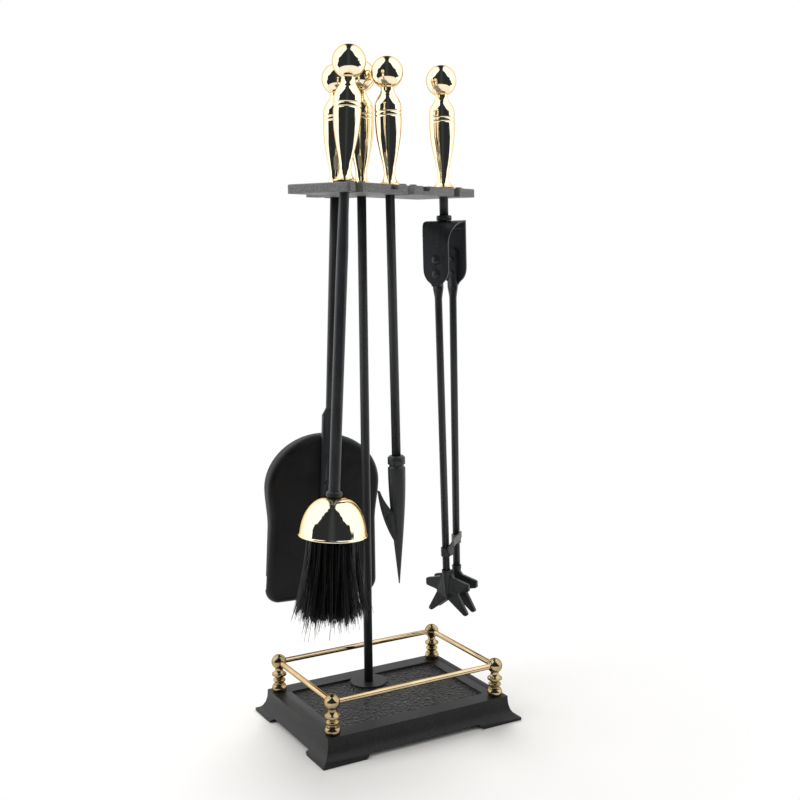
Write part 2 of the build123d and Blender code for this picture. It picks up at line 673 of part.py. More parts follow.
# Head: turned barrel with a rolled collar, a long point and a curved side hook.
head_top = -POKER_ROD_LENGTH
with BuildPart() as poker_head:
    with BuildSketch(upright(poker)):
        with BuildLine():
            collar = Polyline(
                (0, head_top),
                (POKER_HEAD_R - POKER_COLLAR_EDGE, head_top),
                (POKER_HEAD_R, head_top - POKER_COLLAR_EDGE),
                (POKER_HEAD_R, head_top - POKER_COLLAR_HEIGHT),
                (POKER_GROOVE_R, head_top - POKER_GROOVE_TOP),
                (POKER_GROOVE_R, head_top - POKER_GROOVE_FOOT),
                (POKER_HEAD_R, head_top - POKER_BARREL_TOP),
            )
            point = Spline(
                collar @ 1,
                (POKER_BARREL_R, head_top - POKER_BARREL_DROP),
                (POKER_POINT_R, head_top - POKER_POINT_DROP),
                (POKER_TIP_R, head_top - POKER_HEAD_LENGTH),
            )
            Polyline(point @ 1, (0, head_top - POKER_HEAD_LENGTH), collar @ 0)
        make_face()
    revolve(axis=axis_of(poker))
    with BuildSketch(upright(poker)):
        with BuildLine():
            hook_tip = (-HOOK_REACH, head_top - HOOK_TIP_DROP)
            inner_root = (-HOOK_ROOT_X, head_top - HOOK_INNER_DROP - HOOK_ROOT_X)
            outer_root = (-HOOK_ROOT_X, head_top - HOOK_OUTER_DROP - HOOK_ROOT_X)
            inner = Spline(inner_root, hook_tip, tangents=[(-0.75, 1), (-0.35, 1)])
            outer = Spline(hook_tip, outer_root, tangents=[(0.1, -1), (0.6, -1)])
            Line(outer @ 1, inner @ 0)
        make_face()
    extrude(amount=HOOK_THICKNESS / 2, both=True)
    with BuildSketch(poker.offset(head_top)):
        Circle(STUD_R)
    extrude(amount=-POKER_STUD_LENGTH, mode=Mode.SUBTRACT)
save(poker_head.part, "poker_head")

# ====================================================================================
# Tongs
# ====================================================================================
tongs = tool_plane(SIDE_SPOT_X, -SIDE_SPOT_Y, TONGS_LEAN, along_rack=True)
tongs_handle = make_handle(tongs)
save(tongs_handle.part, "tongs_handle")

hub_top = -TONGS_ROD_LENGTH
bow_top = hub_top - HUB_HEIGHT
hinge_drop = bow_top - BOW_BEND
tongs_rod = make_rod(tongs, TONGS_ROD_LENGTH, HUB_HEIGHT + BOW_SHEET + RIVET_HEAD)
save(tongs_rod.part, "tongs_rod")

with BuildPart() as tongs_hub:
    with BuildSketch(tongs.offset(hub_top)):
        Circle(HUB_R)
        Circle(STUD_R, mode=Mode.SUBTRACT)
    extrude(amount=-HUB_HEIGHT)
    chamfer(tongs_hub.edges().filter_by(GeomType.CIRCLE).sort_by(SortBy.RADIUS)[-2:], HUB_EDGE)
save(tongs_hub.part, "tongs_hub")

# Spring: a steel strip bent to a bow. The bow is fixed to the hub and each leg flexes
# from the end of its bend.
with BuildPart() as tongs_bow:
    with BuildSketch(upright(tongs)):
        with BuildLine():
            bow_line = FilletPolyline(
                (-BOW_HALF - BOW_SHEET / 2, hinge_drop),
                (-BOW_HALF - BOW_SHEET / 2, bow_top - BOW_SHEET / 2),
                (BOW_HALF + BOW_SHEET / 2, bow_top - BOW_SHEET / 2),
                (BOW_HALF + BOW_SHEET / 2, hinge_drop),
                radius=BOW_BEND - BOW_SHEET / 2 - FIT,
            )
        trace(line_width=BOW_SHEET)
    extrude(amount=BOW_WIDTH / 2, both=True)
    with BuildSketch(tongs.offset(bow_top)):
        Circle(STUD_R)
    extrude(amount=-BOW_SHEET, mode=Mode.SUBTRACT)
save(tongs_bow.part, "tongs_bow")

leg_top = hinge_drop - FIT
tab_top = hinge_drop - TAB_START
tab_foot = tab_top - TAB_LENGTH
arm_top = tab_foot - TAB_RUN
tab_x = BOW_HALF - TAB_THICKNESS / 2
for side, name in ((-1, "left"), (1, "right")):
    leg_plane = Plane(
        origin=tongs.from_local_coords(Vector(side * BOW_HALF, 0, 0)), x_dir=tongs.y_dir, z_dir=tongs.x_dir
    )
    rivet_spots = [(0, leg_top - drop) for drop in TONGS_RIVET_DROPS]

    # Leg: flat strip that narrows with a curve to the arm at its foot.
    with BuildPart() as tongs_leg:
        with BuildSketch(leg_plane) as leg_outline:
            with BuildLine():
                half = BOW_WIDTH / 2
                foot_half = LEG_FOOT_WIDTH / 2
                top = Line((-half, leg_top), (half, leg_top))
                right_flank = Line(top @ 1, (half, leg_top - LEG_STRAIGHT))
                right_curve = Spline(
                    right_flank @ 1, (foot_half, leg_top - LEG_LENGTH), tangents=[(0, -1), (-0.35, -1)]
                )
                foot = Line(right_curve @ 1, (-foot_half, leg_top - LEG_LENGTH))
                left_curve = Spline(
                    foot @ 1, (-half, leg_top - LEG_STRAIGHT), tangents=[(-0.35, 1), (0, 1)]
                )
                Line(left_curve @ 1, top @ 0)
            make_face()
            with Locations(*rivet_spots):
                Circle(TONGS_RIVET_SHANK_R, mode=Mode.SUBTRACT)
        extrude(amount=side * BOW_SHEET)
    save(tongs_leg.part, f"tongs_{name}_leg")

    # Arm: flat tab under the leg, then a round bar that closes in towards the claw.
    arm_head = tongs.from_local_coords(Vector(side * tab_x, 0, arm_top))
    arm_end = tongs.from_local_coords(Vector(side * ARM_FOOT_X, 0, arm_top - ARM_LENGTH))
    arm_up = (arm_head - arm_end).normalized()
    arm_across = (tongs.x_dir - arm_up * tongs.x_dir.dot(arm_up)).normalized()
    arm_plane = Plane(origin=arm_head, x_dir=arm_across, z_dir=arm_up)
    arm_run = (arm_head - arm_end).length
    with BuildPart() as tongs_arm:
        with BuildSketch(leg_plane) as tab_outline:
            with Locations((0, tab_top - TAB_LENGTH / 2)):
                Rectangle(TAB_WIDTH, TAB_LENGTH)
            fillet(tab_outline.vertices().sort_by(Axis.Y)[-2:], TAB_WIDTH / 2 - 0.1)
            with Locations(*rivet_spots):
                Circle(TONGS_RIVET_SHANK_R, mode=Mode.SUBTRACT)
        extrude(amount=-side * TAB_THICKNESS)
        with BuildSketch(tongs.offset(tab_foot)):
            with Locations((side * tab_x, 0)):
                Rectangle(TAB_THICKNESS, TAB_WIDTH)
        with BuildSketch(arm_plane):
            Circle(ARM_R)
        loft()
        with BuildSketch(arm_plane):
            Circle(ARM_R)
        extrude(amount=-arm_run)
    save(tongs_arm.part, f"tongs_{name}_arm")

    for (spot_x, spot_y), level in zip(rivet_spots, ("upper", "lower")):
        with BuildPart() as tongs_rivet:
            with BuildSketch(leg_plane.offset(side * BOW_SHEET)):
                with Locations((spot_x, spot_y)):
                    Circle(TONGS_RIVET_R)
            extrude(amount=side * TONGS_RIVET_HEAD, taper=RIVET_TAPER)
            with BuildSketch(leg_plane.offset(side * BOW_SHEET)):
                with Locations((spot_x, spot_y)):
                    Circle(TONGS_RIVET_SHANK_R)
            extrude(amount=-side * (BOW_SHEET + TAB_THICKNESS + RIVET_HEAD))
        save(tongs_rivet.part, f"tongs_{name}_rivet_{level}")

    # Claw: cast star-shaped plate with a rib that takes the end of the arm.
    claw_plane = Plane(origin=arm_end, x_dir=tongs.y_dir, z_dir=arm_plane.x_dir)
    claw_top = claw_plane.offset(-side * CLAW_INSET)
    with BuildPart() as tongs_claw:
        with BuildSketch(claw_top) as claw_outline:
            with BuildLine():
                Polyline(
                    (CLAW_SOCKET_R, 0),
                    (CLAW_SHOULDER, -CLAW_WING_WIDTH / 2),
                    (CLAW_WING_X, -CLAW_WING_DROP + CLAW_WING_WIDTH / 2),
                    (CLAW_WING_X, -CLAW_WING_DROP - CLAW_WING_WIDTH / 2),
                    (CLAW_WAIST_X, -CLAW_WAIST_DROP),
                    (CLAW_TIP_X + CLAW_TIP_WIDTH / 2, -CLAW_TIP_DROP),
                    (CLAW_TIP_X - CLAW_TIP_WIDTH / 2, -CLAW_TIP_DROP),
                    (0, -CLAW_NOTCH_DROP),
                    (-CLAW_TIP_X + CLAW_TIP_WIDTH / 2, -CLAW_TIP_DROP),
                    (-CLAW_TIP_X - CLAW_TIP_WIDTH / 2, -CLAW_TIP_DROP),
                    (-CLAW_WAIST_X, -CLAW_WAIST_DROP),
                    (-CLAW_WING_X, -CLAW_WING_DROP - CLAW_WING_WIDTH / 2),
                    (-CLAW_WING_X, -CLAW_WING_DROP + CLAW_WING_WIDTH / 2),
                    (-CLAW_SHOULDER, -CLAW_WING_WIDTH / 2),
                    (-CLAW_SOCKET_R, 0),
                    close=True,
                )
            make_face()
            fillet(claw_outline.vertices(), CLAW_CORNER)
        extrude(amount=side * CLAW_SHEET)
        with BuildSketch(arm_plane.offset(CLAW_SOCKET_DEPTH - arm_run)):
            Circle(CLAW_SOCKET_R)
        with BuildSketch(arm_plane.offset(-arm_run - CLAW_RIB_LENGTH)):
            Circle(CLAW_RIB_R)
        loft()
        with BuildSketch(arm_plane.offset(CLAW_SOCKET_DEPTH - arm_run)):
            Circle(ARM_R + STUD_CLEARANCE)
        extrude(amount=-CLAW_SOCKET_DEPTH, mode=Mode.SUBTRACT)
    save(tongs_claw.part, f"tongs_{name}_claw")

    # Band: ring on the arm. The left one carries a strap that lies across the right one.
    band_drop = CLIP_DROP if side < 0 else BAND_DROP
    with BuildPart() as tongs_band:
        with BuildSketch(arm_plane.offset(-band_drop)):
            Circle(BAND_R)
        extrude(amount=-BAND_HEIGHT)
        if side < 0:
            strap_plane = Plane(origin=arm_head, x_dir=arm_across, z_dir=-tongs.y_dir)
            with BuildSketch(strap_plane.offset(BAND_R + FIT)):
                with BuildLine():
                    Polyline(
                        (-BAND_R, -band_drop - BAND_HEIGHT / 2),
                        (STRAP_REACH, -band_drop - BAND_HEIGHT / 2 + STRAP_RISE),
                        (STRAP_REACH, -band_drop - BAND_HEIGHT / 2 + STRAP_RISE + STRAP_WIDTH),
                        (-BAND_R, -band_drop - BAND_HEIGHT / 2 + STRAP_WIDTH),
                        close=True,
                    )
                make_face()
            extrude(amount=STRAP_THICKNESS)
            with BuildSketch(strap_plane):
                with Locations((0, -band_drop - BAND_HEIGHT / 2)):
                    Rectangle(STRAP_WIDTH, STRAP_WIDTH)
            extrude(amount=BAND_R + FIT + STRAP_THICKNESS)
        with BuildSketch(arm_plane.offset(-band_drop)):
            Circle(ARM_R)
        extrude(amount=-BAND_HEIGHT, mode=Mode.SUBTRACT)
    save(tongs_band.part, f"tongs_{name}_band")
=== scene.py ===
import random
from math import cos, pi, radians, sin, sqrt

import bmesh
import bpy
from mathutils import Matrix, Vector


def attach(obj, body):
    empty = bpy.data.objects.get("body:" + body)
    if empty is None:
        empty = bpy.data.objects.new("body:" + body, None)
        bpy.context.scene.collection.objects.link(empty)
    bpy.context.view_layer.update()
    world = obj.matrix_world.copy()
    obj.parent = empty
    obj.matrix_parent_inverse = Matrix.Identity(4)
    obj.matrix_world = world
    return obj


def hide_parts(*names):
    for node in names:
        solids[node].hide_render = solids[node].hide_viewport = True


# Fireside tool set: a cast base with a brass gallery, a post with a cast rack, and a
# brush, a shovel, a poker and a pair of spring tongs that hang by turned brass handles.
# Profiles are in millimetres on each tool's own axis; finished meshes are in metres.

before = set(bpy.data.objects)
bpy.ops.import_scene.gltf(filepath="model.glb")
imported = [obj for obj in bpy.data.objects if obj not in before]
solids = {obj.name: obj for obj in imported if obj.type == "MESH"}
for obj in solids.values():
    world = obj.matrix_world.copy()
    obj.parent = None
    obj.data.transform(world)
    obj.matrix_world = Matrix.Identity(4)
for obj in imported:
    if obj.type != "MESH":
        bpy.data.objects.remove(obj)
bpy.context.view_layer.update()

MM = 0.001

# --- layout -------------------------------------------------------------------------
RACK_TOP = 554.0
POST_Y = 40.0
RACK_TURN = 25.0
HANDLE_FOOT_R = 11.8
SEAT_GAP = 0.05
ROD_R = 4.75


def place_at(spot, lean, turn=0.0):
    """Matrix from a tool's own millimetres to the scene: z runs up the leaning axis."""
    up = Vector((-sin(radians(lean)), 0, cos(radians(lean))))
    across = Vector((cos(radians(turn)), sin(radians(turn)), 0))
    across = (across - up * across.dot(up)).normalized()
    inward = up.cross(across)
    matrix = Matrix((across, inward, up)).transposed().to_4x4()
    return Matrix.Translation(Vector(spot) * MM) @ matrix @ Matrix.Scale(MM, 4)


def hang_at(x, y, lean, turn=0.0):
    """Place of a tool that hangs in the rack's slot at x, y of the rack's own frame."""
    swing = radians(RACK_TURN)
    spot = (
        x * cos(swing) - y * sin(swing),
        POST_Y + x * sin(swing) + y * cos(swing),
        RACK_TOP + HANDLE_FOOT_R * abs(sin(radians(lean))) + SEAT_GAP,
    )
    return place_at(spot, lean, turn)


post_place = place_at((0, POST_Y, RACK_TOP), 0)
brush_place = hang_at(-85, -45, -3.3)
shovel_place = hang_at(0, 35, -2.5)
poker_place = hang_at(0, -36, 0.85)
tongs_place = hang_at(85, -45, 1.1, RACK_TURN)

# ====================================================================================
# Finishes
# ====================================================================================


def new_finish(name, colour, roughness, metallic=0.0, specular=0.5):
    """A Principled material with its constants on the shader's own sockets."""
    finish = bpy.data.materials.new(name)
    finish.use_nodes = True
    tree = finish.node_tree
    shader = tree.nodes["Principled BSDF"]
    shader.inputs["Base Color"].default_value = (*colour, 1)
    shader.inputs["Roughness"].default_value = roughness
    shader.inputs["Metallic"].default_value = metallic
    shader.inputs["Specular IOR Level"].default_value = specular
    return finish, tree, shader


def object_place(tree, scale=(1, 1, 1)):
    """The piece's own coordinates, in metres."""
    coordinates = tree.nodes.new("ShaderNodeTexCoord")
    mapping = tree.nodes.new("ShaderNodeMapping")
    mapping.inputs["Scale"].default_value = scale
    tree.links.new(coordinates.outputs["Object"], mapping.inputs["Vector"])
    return mapping.outputs["Vector"]


def grain(tree, place, size, detail=3.0, roughness=0.55, distortion=0.0):
    """Noise with features of the given size in metres."""
    noise = tree.nodes.new("ShaderNodeTexNoise")
    noise.inputs["Scale"].default_value = 1.0 / size
    noise.inputs["Detail"].default_value = detail
    noise.inputs["Roughness"].default_value = roughness
    noise.inputs["Distortion"].default_value = distortion
    tree.links.new(place, noise.inputs["Vector"])
    return noise.outputs["Fac"]


def pebbles(tree, place, size, feature="F1"):
    """Cells of the given size in metres."""
    cells = tree.nodes.new("ShaderNodeTexVoronoi")
    cells.feature = feature
    cells.inputs["Scale"].default_value = 1.0 / size
    tree.links.new(place, cells.inputs["Vector"])
    return cells.outputs["Distance"]


def spread(tree, value, low, high, out_low, out_high):
    """Value from one range to another, held at the ends."""
    scale = tree.nodes.new("ShaderNodeMapRange")
    scale.inputs["From Min"].default_value = low
    scale.inputs["From Max"].default_value = high
    scale.inputs["To Min"].default_value = out_low
    scale.inputs["To Max"].default_value = out_high
    tree.links.new(value, scale.inputs["Value"])
    return scale.outputs["Result"]


def blend_colour(tree, factor, dark, light):
    mix = tree.nodes.new("ShaderNodeMix")
    mix.data_type = "RGBA"
    mix.inputs["A"].default_value = (*dark, 1)
    mix.inputs["B"].default_value = (*light, 1)
    tree.links.new(factor, mix.inputs["Factor"])
    return mix.outputs["Result"]


def combine(tree, operation, first, second=None):
    """Math node on sockets or plain numbers."""
    node = tree.nodes.new("ShaderNodeMath")
    node.operation = operation
    for index, value in enumerate((first, second)):
        if isinstance(value, (int, float)):
            node.inputs[index].default_value = value
        elif value is not None:
            tree.links.new(value, node.inputs[index])
    return node.outputs[0]


def raise_by(tree, height, distance, strength=1.0, under=None):
    """Bump of the given height in metres."""
    bump = tree.nodes.new("ShaderNodeBump")
    bump.inputs["Strength"].default_value = strength
    bump.inputs["Distance"].default_value = distance
    tree.links.new(height, bump.inputs["Height"])
    if under:
        tree.links.new(under, bump.inputs["Normal"])
    return bump.outputs["Normal"]


def polished_brass():
    """Brass of the handles and the bell: bright, wiped along its length."""
    finish, tree, shader = new_finish("polished_brass", (0.98, 0.83, 0.55), 0.05, 1.0)
    shader.inputs["Specular Tint"].default_value = (0.76, 0.49, 0.21, 1)
    place = object_place(tree)
    cloud = grain(tree, place, 0.03, 4)
    tone = spread(tree, cloud, 0.3, 0.7, 0, 1)
    colour = blend_colour(tree, tone, (0.96, 0.82, 0.56), (1.0, 0.90, 0.68))
    tree.links.new(colour, shader.inputs["Base Color"])
    wipe = grain(tree, object_place(tree, (1, 1, 0.15)), 0.0016, 3)
    tree.links.new(spread(tree, wipe, 0.3, 0.8, 0.035, 0.11), shader.inputs["Roughness"])
    waves = grain(tree, place, 0.012, 2)
    tree.links.new(raise_by(tree, waves, 0.00006, 0.5), shader.inputs["Normal"])
    return finish


def aged_brass():
    """Darker brass of the gallery posts."""
    finish, tree, shader = new_finish("aged_brass", (0.50, 0.40, 0.23), 0.17, 1.0)
    shader.inputs["Specular Tint"].default_value = (0.60, 0.40, 0.20, 1)
    place = object_place(tree)
    tarnish = grain(tree, place, 0.012, 3, 0.5)
    tone = spread(tree, tarnish, 0.35, 0.7, 0, 1)
    colour = blend_colour(tree, tone, (0.30, 0.235, 0.13), (0.56, 0.45, 0.27))
    tree.links.new(colour, shader.inputs["Base Color"])
    wear = grain(tree, place, 0.0012, 3)
    tree.links.new(spread(tree, wear, 0.3, 0.75, 0.14, 0.20), shader.inputs["Roughness"])
    return finish


def drawn_brass():
    """Brass bar stock of the gallery rails."""
    finish, tree, shader = new_finish("drawn_brass", (0.62, 0.48, 0.29), 0.06, 1.0)
    shader.inputs["Specular Tint"].default_value = (0.50, 0.32, 0.15, 1)
    cloud = grain(tree, object_place(tree, (1, 1, 0.2)), 0.02, 3)
    tone = spread(tree, cloud, 0.3, 0.7, 0, 1)
    colour = blend_colour(tree, tone, (0.54, 0.42, 0.25), (0.72, 0.57, 0.36))
    tree.links.new(colour, shader.inputs["Base Color"])
    return finish


def black_bar():
    """Satin black of the rods, the spring and the forged ends."""
    finish, tree, shader = new_finish("satin_black", (0.029, 0.031, 0.034), 0.36, 0.0, 0.32)
    place = object_place(tree, (1, 1, 0.2))
    dust = grain(tree, place, 0.004, 4)
    tone = spread(tree, dust, 0.35, 0.75, 0, 1)
    colour = blend_colour(tree, tone, (0.023, 0.025, 0.027), (0.034, 0.036, 0.040))
    tree.links.new(colour, shader.inputs["Base Color"])
    tree.links.new(spread(tree, dust, 0.3, 0.7, 0.28, 0.40), shader.inputs["Roughness"])
    skin = grain(tree, place, 0.0016, 2)
    tree.links.new(raise_by(tree, skin, 0.00003, 0.5), shader.inputs["Normal"])
    return finish


def black_sheet():
    """Dull black paint of the shovel's pan."""
    finish, tree, shader = new_finish("black_sheet", (0.010, 0.010, 0.011), 0.40, 0.0, 0.25)
    place = object_place(tree)
    mottle = grain(tree, place, 0.022, 5, 0.6)
    tone = spread(tree, mottle, 0.35, 0.7, 0, 1)
    colour = blend_colour(tree, tone, (0.006, 0.006, 0.007), (0.014, 0.014, 0.015))
    tree.links.new(colour, shader.inputs["Base Color"])
    tree.links.new(spread(tree, mottle, 0.3, 0.7, 0.36, 0.52), shader.inputs["Roughness"])
    fine = raise_by(tree, grain(tree, place, 0.0009, 3), 0.00003, 0.7)
    tree.links.new(raise_by(tree, mottle, 0.0003, 0.5, fine), shader.inputs["Normal"])
    return finish


PANEL_TOP = (0.0229, 0.0236)      # heights between which the panel's finish fades out
PANEL_FLOOR = (0.0215, 0.0225)
PANEL_HALF = {"X": 0.0860, "Y": 0.0550}
PANEL_FADE = 0.0002
DENT_SIZE = 0.0058
DENT_DRIFT = 0.005


def cast_black():
    """Base casting: fine sand-cast skin, with a hammered ground in the sunken panel whose dent
    crests carry a painted warm highlight in patches.
    """
    finish, tree, shader = new_finish("cast_black", (0.010, 0.010, 0.011), 0.40, 0.0, 0.28)
    place = object_place(tree)
    skin = grain(tree, place, 0.0016, 4, 0.6)
    cloud = grain(tree, place, 0.02, 4)
    tone = combine(
        tree,
        "ADD",
        spread(tree, cloud, 0.3, 0.7, 0, 0.25),
        spread(tree, skin, 0.40, 0.66, 0, 0.75),
    )
    colour = blend_colour(tree, tone, (0.004, 0.004, 0.0043), (0.023, 0.023, 0.023))
    split = tree.nodes.new("ShaderNodeSeparateXYZ")
    tree.links.new(place, split.inputs["Vector"])
    below_top = spread(tree, split.outputs["Z"], *PANEL_TOP, 1, 0)
    above_floor = spread(tree, split.outputs["Z"], *PANEL_FLOOR, 0, 1)
    ground = combine(tree, "MULTIPLY", below_top, above_floor)
    for axis, half in PANEL_HALF.items():
        span = combine(tree, "ABSOLUTE", split.outputs[axis])
        within = spread(tree, span, half - PANEL_FADE, half, 1, 0)
        ground = combine(tree, "MULTIPLY", within, ground)
    drift = tree.nodes.new("ShaderNodeTexNoise")
    drift.inputs["Scale"].default_value = 160.0
    tree.links.new(place, drift.inputs["Vector"])
    wander = tree.nodes.new("ShaderNodeVectorMath")
    wander.operation = "MULTIPLY_ADD"
    tree.links.new(drift.outputs["Color"], wander.inputs[0])
    wander.inputs[1].default_value = (DENT_DRIFT, DENT_DRIFT, DENT_DRIFT)
    tree.links.new(place, wander.inputs[2])
    cells = pebbles(tree, wander.outputs["Vector"], DENT_SIZE, "DISTANCE_TO_EDGE")
    dents = spread(tree, cells, 0.0, 0.42, 0, 1)
    hammered = raise_by(tree, combine(tree, "MULTIPLY", dents, ground), 0.0022, 1.0)
    # Painted highlight: a warm colour mixed onto the crests of the dents, in noise patches, stands
    # in for light caught by the crests.
    highlight_patches = spread(tree, grain(tree, place, 0.003, 2), 0.50, 0.66, 0, 1)
    highlight_crests = combine(tree, "MULTIPLY", spread(tree, dents, 0.35, 0.9, 0, 1), highlight_patches)
    painted_crest_highlight = tree.nodes.new("ShaderNodeMix")
    painted_crest_highlight.data_type = "RGBA"
    painted_crest_highlight.inputs["B"].default_value = (0.15, 0.125, 0.088, 1)
    tree.links.new(combine(tree, "MULTIPLY", highlight_crests, ground), painted_crest_highlight.inputs["Factor"])
    tree.links.new(colour, painted_crest_highlight.inputs["A"])
    tree.links.new(painted_crest_highlight.outputs["Result"], shader.inputs["Base Color"])
    tree.links.new(raise_by(tree, skin, 0.00022, 0.8, hammered), shader.inputs["Normal"])
    tree.links.new(spread(tree, skin, 0.3, 0.7, 0.34, 0.52), shader.inputs["Roughness"])
    return finish


def cast_grey():
    """Rack: rougher casting, its grey skin half covered with black paint."""
    finish, tree, shader = new_finish("cast_grey", (0.11, 0.112, 0.11), 0.5)
    place = object_place(tree)
    skin = grain(tree, place, 0.0014, 5, 0.65)
    cloud = grain(tree, place, 0.012, 4)
    tone = spread(tree, skin, 0.35, 0.7, 0, 1)
    colour = blend_colour(tree, tone, (0.085, 0.087, 0.085), (0.26, 0.264, 0.258))
    tree.links.new(colour, shader.inputs["Base Color"])
    tree.links.new(spread(tree, cloud, 0.3, 0.7, 0.42, 0.6), shader.inputs["Roughness"])
    tree.links.new(raise_by(tree, skin, 0.00025, 0.8), shader.inputs["Normal"])
    return finish


STRAP_START = (0.1034, 0.1040)    # along the rack's own x, where the strap leaves its band


def strap_and_band():
    """Black band with a strap of bare grey steel that runs from it to the other arm."""
    finish, tree, shader = new_finish("strap_and_band", (0.12, 0.12, 0.115), 0.5)
    place = object_place(tree)
    reach = tree.nodes.new("ShaderNodeVectorMath")
    reach.operation = "DOT_PRODUCT"
    tree.links.new(place, reach.inputs[0])
    reach.inputs[1].default_value = (cos(radians(RACK_TURN)), sin(radians(RACK_TURN)), 0)
    bare = spread(tree, reach.outputs["Value"], *STRAP_START, 0, 1)
    skin = grain(tree, place, 0.0014, 4, 0.6)
    tone = spread(tree, skin, 0.35, 0.7, 0, 1)
    steel = blend_colour(tree, tone, (0.13, 0.128, 0.12), (0.26, 0.256, 0.24))
    paint = tree.nodes.new("ShaderNodeMix")
    paint.data_type = "RGBA"
    paint.inputs["A"].default_value = (0.026, 0.028, 0.030, 1)
    tree.links.new(bare, paint.inputs["Factor"])
    tree.links.new(steel, paint.inputs["B"])
    tree.links.new(paint.outputs["Result"], shader.inputs["Base Color"])
    tree.links.new(raise_by(tree, skin, 0.00008, 0.6), shader.inputs["Normal"])
    return finish


def hair_black():
    finish, tree, shader = new_finish("black_bristle", (0.010, 0.009, 0.009), 0.5, 0.0, 0.3)
    place = object_place(tree, (1, 1, 0.1))
    tone = spread(tree, grain(tree, place, 0.002, 2), 0.35, 0.7, 0, 1)
    colour = blend_colour(tree, tone, (0.004, 0.004, 0.004), (0.013, 0.012, 0.011))
    tree.links.new(colour, shader.inputs["Base Color"])
    return finish


def turned_wood():
    finish, tree, shader = new_finish("turned_wood", (0.12, 0.07, 0.035), 0.6)
    rings = grain(tree, object_place(tree, (1, 1, 0.2)), 0.004, 4)
    tone = spread(tree, rings, 0.3, 0.7, 0, 1)
    colour = blend_colour(tree, tone, (0.08, 0.045, 0.02), (0.20, 0.12, 0.06))
    tree.links.new(colour, shader.inputs["Base Color"])
    return finish


brass = polished_brass()
old_brass = aged_brass()
rail_brass = drawn_brass()
bar_black = black_bar()
sheet_black = black_sheet()
base_iron = cast_black()
rack_iron = cast_grey()
strap_steel = strap_and_band()
bristle_black = hair_black()
block_wood = turned_wood()

# ====================================================================================
# Making pieces
# ====================================================================================


def make_piece(name, shape, place, finish, body, nodes=(), sharp=35.0):
    """A finished shape in its own millimetres becomes a piece that rides its body."""
    bmesh.ops.remove_doubles(shape, verts=shape.verts, dist=1e-4)
    bmesh.ops.recalc_face_normals(shape, faces=shape.faces)
    shape.transform(place)
    mesh = bpy.data.meshes.new(name)
    shape.to_mesh(mesh)
    shape.free()
    mesh.shade_smooth()
    mesh.set_sharp_from_angle(angle=radians(sharp))
    mesh.materials.append(finish)
    piece = bpy.data.objects.new(name, mesh)
    bpy.context.scene.collection.objects.link(piece)
    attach(piece, body)
    if nodes:
        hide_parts(*nodes)
    return piece


def curve_through(knots, steps=8):
    """A smooth line through the knots, ends included."""
    points = [Vector(knot) for knot in knots]
    points = [2 * points[0] - points[1]] + points + [2 * points[-1] - points[-2]]
    line = []
    for before, start, end, after in zip(points, points[1:], points[2:], points[3:]):
        for step in range(steps):
            t = step / steps
            line.append(
                0.5
                * (
                    2 * start
                    + (end - before) * t
                    + (2 * before - 5 * start + 4 * end - after) * t * t
                    + (3 * start - before - 3 * end + after) * t**3
                )
            )
    line.append(points[-2])
    return [tuple(point) for point in line]


def arc(middle, radius, start, end, steps=12):
    """Points of an arc in the profile plane, angles in degrees from the radius axis."""
    angles = [radians(start + (end - start) * step / steps) for step in range(steps + 1)]
    return [(middle[0] + radius * cos(a), middle[1] + radius * sin(a)) for a in angles]


def turned(profile, steps=96):
    """Solid of revolution from (radius, height) pairs."""
    shape = bmesh.new()
    points = [shape.verts.new((max(radius, 0.0), 0, height)) for radius, height in profile]
    edges = [shape.edges.new(pair) for pair in zip(points, points[1:])]
    bmesh.ops.spin(
        shape,
        geom=points + edges,
        cent=(0, 0, 0),
        axis=(0, 0, 1),
        dvec=(0, 0, 0),
        angle=2 * pi,
        steps=steps,
        use_merge=True,
        use_duplicate=False,
    )
    return shape


def merged_copy(node, name, finish, body, sharp=30.0, soften=0.0, reshape=None):
    """A copy of a node's mesh with its corners joined, smooth on its curved faces."""
    shape = bmesh.new()
    shape.from_mesh(solids[node].data)
    bmesh.ops.remove_doubles(shape, verts=shape.verts, dist=2e-6)
    if reshape:
        reshape(shape)
    if soften:
        bmesh.ops.dissolve_limit(
            shape,
            angle_limit=radians(1.0),
            verts=shape.verts,
            edges=shape.edges,
            use_dissolve_boundaries=False,
        )
    mesh = bpy.data.meshes.new(name)
    shape.to_mesh(mesh)
    shape.free()
    mesh.shade_smooth()
    mesh.set_sharp_from_angle(angle=radians(sharp))
    mesh.materials.clear()
    mesh.materials.append(finish)
    piece = bpy.data.objects.new(name, mesh)
    bpy.context.scene.collection.objects.link(piece)
    if soften:
        bevel = piece.modifiers.new("soft_edges", "BEVEL")
        bevel.width = soften * MM
        bevel.segments = 2
        bevel.limit_method = "ANGLE"
        bevel.angle_limit = radians(40)
        bevel.harden_normals = True
        bevel.use_clamp_overlap = True
    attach(piece, body)
    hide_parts(node)
    return piece


# ====================================================================================
# Turned brass
# ====================================================================================
HANDLE_WAIST = [
    (11.4, 1.3),
    (8.9, 3.2),
    (6.9, 6.2),
    (5.8, 9.8),
    (5.6, 13.0),
    (6.2, 19.0),
    (7.8, 26.5),
    (9.5, 34.0),
    (11.1, 42.0),
    (12.4, 50.0),
    (13.1, 58.0),
    (13.4, 65.0),
    (13.4, 67.6),
]
HANDLE_SHOULDER = [
    (13.35, 76.4),
    (13.0, 80.4),
    (12.0, 83.5),
    (10.3, 86.6),
    (8.2, 89.9),
    (7.0, 92.6),
    (6.6, 96.0),
]
HANDLE_RINGS = (68.0, 72.0)       # lower edges of the two turned rings
HANDLE_BALL_R = 16.0
HANDLE_BALL_Z = 111.3
HANDLE_BALL_START = -65.6         # where the ball grows out of the throat, in degrees


